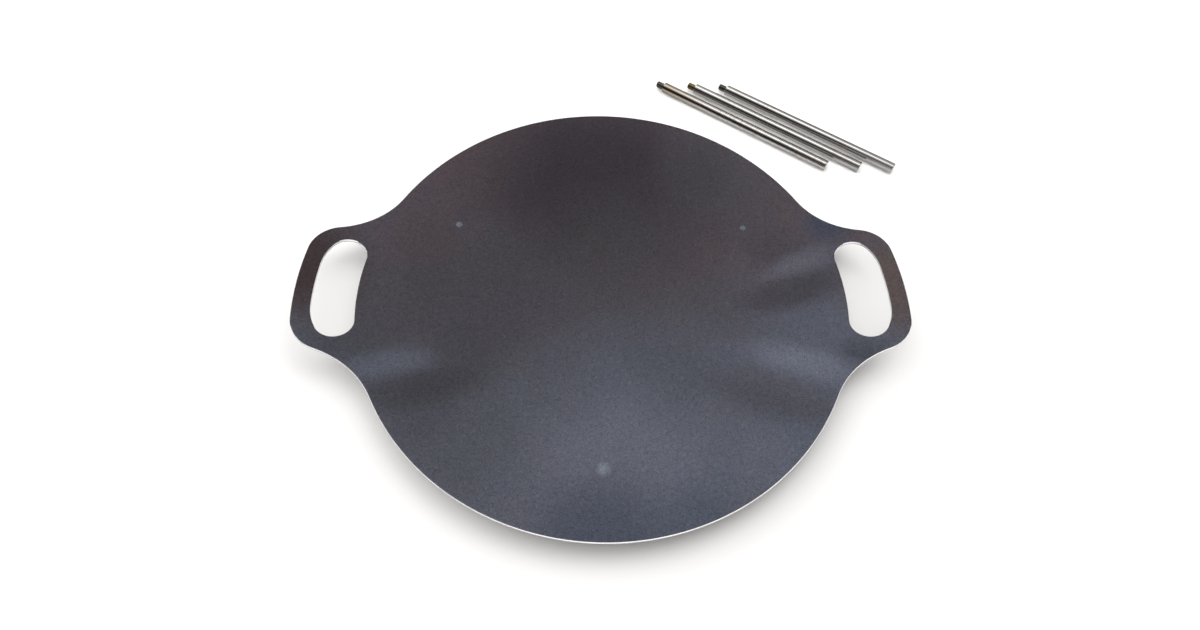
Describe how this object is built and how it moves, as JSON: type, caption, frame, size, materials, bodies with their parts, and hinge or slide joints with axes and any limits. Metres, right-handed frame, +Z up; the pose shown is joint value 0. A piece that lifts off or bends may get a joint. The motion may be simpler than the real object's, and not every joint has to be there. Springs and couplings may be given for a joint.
{
  "type": "camp griddle plate",
  "caption": "Shallow round steel griddle dish with two loop handles, leg nuts welded underneath and screw-in round legs that lie loose beside it.",
  "frame": {"origin": "on the ground under the middle of the dish, at the flat of the belly", "axes": "+X to the right through both handles, +Y away from the cook towards the loose legs, +Z up"},
  "size_m": [0.6416, 0.5639, 0.0406],
  "materials": {
    "plate_steel": "dark rolled sheet with its blue-brown mill skin, satin",
    "nut_steel": "plain dull steel",
    "weld_metal": "rippled weld bead with heat tint",
    "leg_steel": "bright turned bar"
  },
  "bodies": {
    "plate": {"griddle_plate": "plate_steel", "front_leg_nut": "nut_steel", "left_leg_nut": "nut_steel", "right_leg_nut": "nut_steel", "front_nut_weld": "weld_metal", "left_nut_weld": "weld_metal", "right_nut_weld": "weld_metal"},
    "leg_near": {"near_leg": "leg_steel"},
    "leg_middle": {"middle_leg": "leg_steel"},
    "leg_far": {"far_leg": "leg_steel"}
  },
  "joints": [
    {"name": "near_leg_lift", "type": "slide", "parent": "plate", "child": "leg_near", "axis": [0, 0, 1], "range_m": [0, 0.12]},
    {"name": "middle_leg_lift", "type": "slide", "parent": "plate", "child": "leg_middle", "axis": [0, 0, 1], "range_m": [0, 0.12]},
    {"name": "far_leg_lift", "type": "slide", "parent": "plate", "child": "leg_far", "axis": [0, 0, 1], "range_m": [0, 0.12]}
  ]
}
